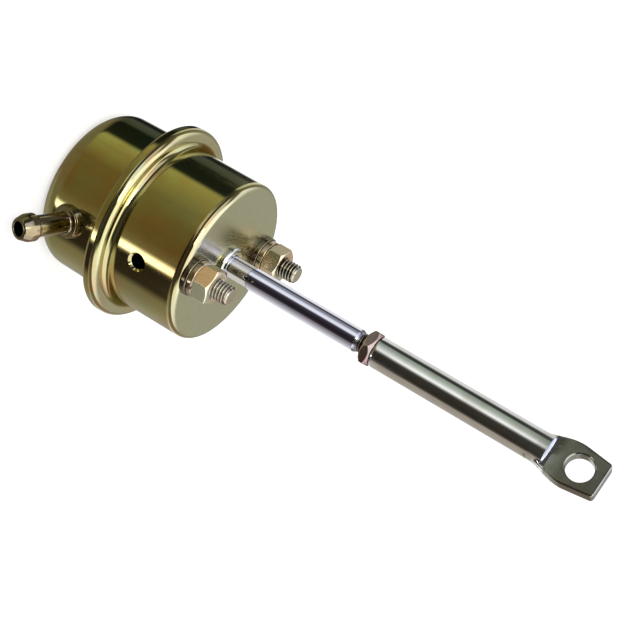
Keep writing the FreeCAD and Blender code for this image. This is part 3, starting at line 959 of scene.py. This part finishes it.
def steel(name):
    """Bright zinc on drawn steel; the pressed eye is duller and darker, with pressing marks, and
    next to the sleeve a rougher patch whose pale green-grey is a painted sheen.
    """
    finish, flow, spot = finish_start(name)
    height = flow.node("ShaderNodeSeparateXYZ", {}, {0: spot}, "Z")
    pressed = height.step((sleeve_end + 0.8) * 0.001, (sleeve_end + 1.8) * 0.001)
    lines = clouds(flow, spot, 900, 4, 0.7, 0.03)
    haze = clouds(flow, spot, 130, 4)
    specks = clouds(flow, spot, 1400, 3)
    bright = haze.step(0.35, 0.65).blend((0.70, 0.71, 0.68, 1), (0.62, 0.62, 0.58, 1))
    dull = haze.step(0.35, 0.65).blend((0.30, 0.30, 0.24, 1), (0.21, 0.20, 0.15, 1))
    near_sleeve = height.step((sleeve_end + 6.0) * 0.001, (sleeve_end + 1.5) * 0.001)
    # Painted sheen: a rougher patch next to the sleeve, coloured pale green-grey.
    rough_painted_sheen = near_sleeve * haze.step(0.40, 0.58) * pressed
    dull = (rough_painted_sheen * 0.7).blend(dull, (0.46, 0.52, 0.42, 1))
    colour = pressed.blend(bright, dull)
    roughness = lines * 0.08 + haze.step(0.5, 0.8) * 0.05 + 0.06
    roughness = roughness + pressed * (specks * 0.06 + 0.06) + rough_painted_sheen * 0.3
    return finish_end(finish, flow, colour, roughness, lines * 0.5 + specks * 0.5, 0.1, 0.00002)


def eye_loop(half_width, half_depth, edge):
    """Rounded oblong across the eye, with the same number of points for any size."""
    flat_x = half_width - edge
    flat_y = half_depth - edge
    side = [(half_width, flat_y * share / 6) for share in range(6)]
    side.append((half_width, flat_y * 0.96))
    turns = [math.radians(90 * step / 5) for step in range(6)]
    arc = [(flat_x + edge * math.cos(turn), flat_y + edge * math.sin(turn)) for turn in turns]
    end = [(flat_x * 0.985, half_depth)]
    end += [(flat_x * (1 - share / 14), half_depth) for share in range(1, 14)]
    quarter = side + arc + end + [(0, half_depth)]
    loop = []
    for flip_x, flip_y in ((1, 1), (-1, 1), (-1, -1), (1, -1)):
        run = [(px * flip_x, py * flip_y) for px, py in quarter]
        loop += run[:-1] if flip_x == flip_y else run[:0:-1]
    return loop


def eye_width(height):
    """Half width of the eye at a height: a flare from the sleeve, a belly and a slight taper."""
    belly_height = eye_centre - 3.6
    flare = (eye_belly - eye_root) / (belly_height - press_start)
    taper = (eye_belly - eye_tip) / (eye_end - belly_height)
    if height < belly_height:
        straight = eye_root + flare * (height - press_start)
    else:
        straight = eye_belly - taper * (height - belly_height)
    soft = 2.6
    gap = max(soft - abs(height - belly_height), 0)
    return straight - (flare + taper) * gap * gap / (4 * soft)


def corner_cut(into, radius):
    """How far a rounded corner has drawn in, at a way into its arc."""
    return radius - math.sqrt(max(radius * radius - into * into, 0)) if into > 0 else 0


def rod_end_mesh():
    """Rings from the bottom of the tapped hole, out over the sleeve and on to the eye's tip."""
    angles = [math.atan2(py, px) for px, py in eye_loop(eye_root, eye_half, 0.5)]
    count = len(angles)
    circles = [
        (0.001, tap_end),
        (tap_radius, tap_end - 1.6),
        (tap_radius, sleeve_start + 0.5),
        (3.45, sleeve_start + 0.03),
        (3.6, sleeve_start),
        (4.1, sleeve_start),
    ]
    for step in range(5):
        turn = math.radians(90 * step / 4)
        circles.append((sleeve_radius - sleeve_edge + sleeve_edge * math.sin(turn),
                        sleeve_start + sleeve_edge - sleeve_edge * math.cos(turn)))
    rows = [[(radius * math.cos(angle), radius * math.sin(angle), height) for angle in angles]
            for radius, height in circles]
    heights = [sleeve_start + 1.0, 70.0, 90.0, 100.0, press_start - 0.2]
    heights += [press_start + 0.4 * step for step in range(13)]
    heights += [sleeve_end - 0.15 + 0.07 * step for step in range(16)]
    heights += [sleeve_end + 1.3 + 0.45 * step for step in range(26)]
    heights = [height for height in heights if height < eye_end - 1.0]
    heights += [eye_end - tip_round + tip_round * math.sin(math.radians(90 * step / 7))
                for step in range(8)]
    for height in heights:
        width = eye_width(max(height, press_start))
        width -= corner_cut(height - (eye_end - tip_round), tip_round)
        depth = eye_half - corner_cut(height - (eye_end - tip_edge), tip_edge)
        down = max(height - (sleeve_end - 0.12), 0)
        round_radius = sleeve_radius - 7.0 * down * down - 3.4 * down
        into_eye = min(max((height - flank_start) / flank_length, 0), 1)
        edge = 0.55 if depth > 1.7 else 0.45
        edge += (0.95 * eye_half - edge) * (1 - into_eye) ** 2 * (depth > 1.99)
        if height > sleeve_end:
            depth += 0.22 * math.exp(-(height - sleeve_end) / 1.1)
        share = min(max((height - press_start) / press_length, 0), 1)
        soft = 0.05 + 0.65 * min((height - press_start) / 5, 1)
        row = []
        for (px, py), base in zip(eye_loop(width, depth, edge), angles):
            reach = math.hypot(px, py)
            angle = math.atan2(py, px)
            if reach < round_radius - 0.7 and height < press_start + press_length:
                swing = (angle - base + math.pi) % math.tau - math.pi
                angle = base + swing * share * share * (3 - 2 * share)
                joined = round_radius
            else:
                gap = max(soft - abs(reach - round_radius), 0) / soft
                joined = max(reach, round_radius) + soft * gap * gap / 4
            row.append((joined * math.cos(angle), joined * math.sin(angle), height))
        rows.append(row)
    cosine = math.cos(math.radians(eye_turn))
    sine = math.sin(math.radians(eye_turn))
    points = [(px * cosine - py * sine, px * sine + py * cosine, height)
              for row in rows for px, py, height in row]
    points += [(0, 0, eye_end), (0, 0, tap_end)]
    faces = skin(len(rows), count)
    last = (len(rows) - 1) * count
    for index in range(count):
        after = (index + 1) % count
        faces.append([last + index, last + after, len(points) - 2])
        faces.append([after, index, len(points) - 1])
    return finished_mesh("rod_end_pressing", points, faces, 30)


rod_end = rod_end_mesh()
upright = Matrix.Rotation(math.radians(-90), 3, "X")
eye_way = Matrix.Rotation(math.radians(eye_turn), 3, "Z") @ upright
eye_cutter = turned("eye_cutter", [
    (0, -4),
    (pin_hole + 2.4, -4),
    (pin_hole, -eye_half + 0.4, 0.3),
    (pin_hole, eye_half - 0.4, 0.3),
    (pin_hole + 2.4, 4),
    (0, 4),
], 96, lambda point: eye_way @ point + Vector((0, 0, eye_centre)))
cut_by(rod_end, eye_cutter, 30)
fitted(rod_end, "rod_end", "rod_end", steel("rod_end_steel"))

# Return spring
# Round spring wire wound in seven turns, the end turns closed and ground flat, oiled. It stands
# between its seat under the mounting face and the piston, and shortens as the rod comes out.
spring_steel = zinc("spring_steel", (0.30, 0.30, 0.31), (0.26, 0.25, 0.24), (0.28, 0.29, 0.30),
                    140, 700, 0.2)
spring_low = -46.8
spring_high = -2.2
spring_mean = 12.8
wire_radius = 1.3
closed_pitch = 2.9
active_turns = 5.0
points_per_turn = 40


def spring_tree():
    """Node tree that bends a line into a closed-ended helix of round wire and grinds its ends."""
    flow, given = tree_start("wound_spring", (
        ("Low", "Float"), ("High", "Float"), ("Mean Radius", "Float"), ("Wire Radius", "Float"),
        ("Closed Pitch", "Float"), ("Active Turns", "Float"), ("Finish", "Material"),
    ))
    count = round((active_turns + 2) * points_per_turn) + 1
    line = flow.node("GeometryNodeMeshLine", {}, {"Count": count})
    turns = flow.node("GeometryNodeInputIndex", {}, {}) / points_per_turn
    angle = turns * math.tau
    tip = given.pick("Wire Radius") * -0.3
    closed = given.pick("Closed Pitch")
    open_length = given.pick("High") - given.pick("Low") - tip * 2 - closed * 2
    rear = flow.math("MINIMUM", turns, 1.0)
    front = flow.math("MAXIMUM", turns - given.pick("Active Turns") - 1, 0.0)
    between = flow.node("ShaderNodeClamp", {}, {0: (turns - 1) / given.pick("Active Turns")})
    spot = flow.node("ShaderNodeCombineXYZ", {}, {
        0: flow.math("COSINE", angle) * given.pick("Mean Radius"),
        1: flow.math("SINE", angle) * given.pick("Mean Radius"),
        2: given.pick("Low") + tip + closed * (rear + front) + open_length * between,
    })
    bent = flow.node("GeometryNodeSetPosition", {}, {"Geometry": line, "Position": spot})
    path = flow.node("GeometryNodeMeshToCurve", {}, {"Mesh": bent})
    section = flow.node("GeometryNodeCurvePrimitiveCircle", {}, {
        "Resolution": 20, "Radius": given.pick("Wire Radius"),
    })
    wire = flow.node("GeometryNodeCurveToMesh", {}, {
        "Curve": path, "Profile Curve": section, "Fill Caps": True,
    })
    place = flow.node("GeometryNodeInputPosition", {}, {})
    parts = flow.node("ShaderNodeSeparateXYZ", {}, {0: place})
    ground = flow.node("ShaderNodeClamp", {}, {
        0: parts.pick("Z"), 1: given.pick("Low"), 2: given.pick("High"),
    })
    flat = flow.node("ShaderNodeCombineXYZ", {}, {
        0: parts.pick("X"), 1: parts.pick("Y"), 2: ground,
    })
    ended = flow.node("GeometryNodeSetPosition", {}, {"Geometry": wire, "Position": flat})
    return tree_end(flow, ended, given.pick("Finish"))


spring_mesh = bpy.data.meshes.new("return_spring_wire")
spring = bpy.data.objects.new("return_spring_wire", spring_mesh)
bpy.context.collection.objects.link(spring)
shaped_by(spring, spring_tree(), {
    "Low": spring_low * 0.001,
    "High": spring_high * 0.001,
    "Mean Radius": spring_mean * 0.001,
    "Wire Radius": wire_radius * 0.001,
    "Closed Pitch": closed_pitch * 0.001,
    "Active Turns": active_turns,
    "Finish": spring_steel,
}, 40)
fitted(spring, "return_spring", "canister", spring_steel)
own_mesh(spring)

# Diaphragm
# Moulded rubber on a fabric, a top hat with one rolling fold. Its rim is clamped in the crimp and
# its hat wraps the piston, so the fold rolls as the rod moves.
membrane = 0.9
membrane_bore = 2.55
membrane_back = -48.7
hat_inner = 19.9
fold_outer = 23.7
fold_top = -23.3
fold_round = 1.9


def rubber(name):
    """Matt black rubber with the weave of its fabric showing faintly."""
    finish, flow, spot = finish_start(name)
    cells = clouds(flow, spot, 700, 3)
    bloom = clouds(flow, spot, 60, 3)
    colour = bloom.step(0.4, 0.7).blend((0.018, 0.018, 0.02, 1), (0.035, 0.034, 0.034, 1))
    return finish_end(finish, flow, colour, cells * 0.2 + 0.5, cells, 0.25, 0.00005, metallic=0.0)


diaphragm = turned("diaphragm_moulding", [
    (membrane_bore, membrane_back + membrane),
    (hat_inner, membrane_back + membrane, 3.0),
    (hat_inner, fold_top, fold_round),
    (fold_outer, fold_top, fold_round),
    (fold_outer, clamp_front, fold_round),
    (flange_radius, clamp_front),
    (flange_radius, clamp_rear),
    (fold_outer - membrane, clamp_rear, 0.9),
    (fold_outer - membrane, fold_top - membrane, 0.98),
    (hat_inner + membrane, fold_top - membrane, 0.98),
    (hat_inner + membrane, membrane_back, 3.9),
    (membrane_bore, membrane_back),
], 128)
fitted(diaphragm, "diaphragm", "canister", rubber("diaphragm_rubber"))
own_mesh(diaphragm)

# Piston, washers and spring seat
# Plain pressed and turned steel, riveted on the rod's inner end or lying under the mounting face.
# None of them shows from outside.
plain_steel = zinc("plain_steel", (0.5, 0.5, 0.49), (0.44, 0.43, 0.41), (0.47, 0.48, 0.46),
                   120, 600, 0.22)
for name in ("spring_seat", "piston_cup", "hub_washer", "retainer_plate", "rivet_washer"):
    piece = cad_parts[name]
    piece.data.materials.clear()
    piece.data.materials.append(plain_steel)
